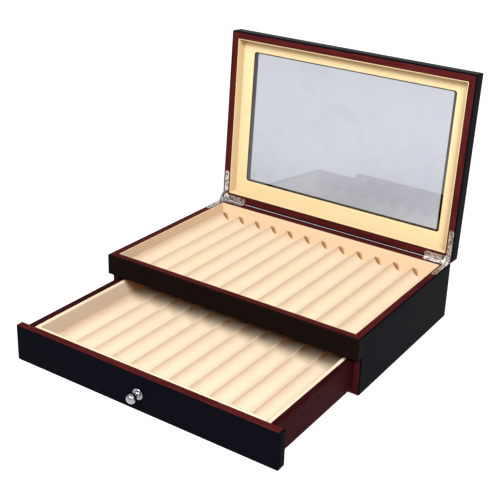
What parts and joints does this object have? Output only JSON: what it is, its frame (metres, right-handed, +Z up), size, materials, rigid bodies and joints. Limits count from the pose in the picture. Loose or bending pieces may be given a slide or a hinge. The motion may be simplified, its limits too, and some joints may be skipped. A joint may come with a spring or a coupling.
{
  "type": "pen collector chest",
  "caption": "Lacquered box with a slotted tray under a hinged lid with a glass window, and a slotted pen drawer with a round knob below.",
  "frame": {"origin": "centre of the felt sheet's underside, on the surface the chest stands on, below the middle of the base", "axes": "+Z up; +X to the right along the hinges, seen from the drawer's side; the drawer opens towards -Y"},
  "size_m": [0.3454, 0.4317, 0.308],
  "materials": {
    "lacquer": "black lacquer, satin gloss, mahogany red on the rims",
    "mahogany": "stained and varnished",
    "stained_board": "stained, matt",
    "velvet": "cream velvet pile",
    "felt": "pressed felt",
    "glass": "clear float glass",
    "steel": "polished plate",
    "knob_metal": "bright plating"
  },
  "bodies": {
    "carcass": {"left_side_panel": "lacquer", "right_side_panel": "lacquer", "back_panel": "lacquer", "front_rail": "lacquer", "bottom_board": "stained_board", "tray_floor": "stained_board", "drawer_stop": "stained_board", "base_felt": "felt", "tray_liner": "velvet", "tray_insert_left": "velvet", "tray_insert_right": "velvet", "base_leaf_left": "steel", "base_leaf_right": "steel", "base_leaf_screws": "steel", "hinge_pin_left": "steel", "hinge_pin_right": "steel"},
    "lid": {"lid_left_rail": "lacquer", "lid_right_rail": "lacquer", "lid_front_rail": "lacquer", "lid_back_rail": "lacquer", "lid_top_panel": "lacquer", "window_glass": "glass", "lid_mat": "velvet", "lid_liner": "velvet", "lid_leaf_left": "steel", "lid_leaf_right": "steel", "lid_leaf_screws": "steel"},
    "stay_left": {"stay_arm_left": "steel"},
    "stay_right": {"stay_arm_right": "steel"},
    "drawer": {"drawer_front": "lacquer", "drawer_left_side": "mahogany", "drawer_right_side": "mahogany", "drawer_back": "mahogany", "drawer_bottom": "stained_board", "drawer_liner": "velvet", "drawer_insert": "velvet", "knob": "knob_metal", "knob_rosette": "knob_metal", "knob_screw": "steel"}
  },
  "joints": [
    {"name": "lid_hinge", "type": "hinge", "parent": "carcass", "child": "lid", "pos_m": [0, 0.11755, 0.0735], "axis": [1, 0, 0], "range_deg": [0, 93.5]},
    {"name": "stay_left_turn", "type": "hinge", "parent": "carcass", "child": "stay_left", "pos_m": [-0.1676, 0.11755, 0.0735], "axis": [1, 0, 0], "range_deg": [0, 46.75]},
    {"name": "stay_right_turn", "type": "hinge", "parent": "carcass", "child": "stay_right", "pos_m": [0.1676, 0.11755, 0.0735], "axis": [1, 0, 0], "range_deg": [0, 46.75]},
    {"name": "drawer_slide", "type": "slide", "parent": "carcass", "child": "drawer", "axis": [0, 1, 0], "range_m": [-0.011, 0.148]}
  ],
  "couplings": [
    {"joint": "stay_left_turn", "follows": "lid_hinge", "ratio": 0.5},
    {"joint": "stay_right_turn", "follows": "lid_hinge", "ratio": 0.5}
  ]
}
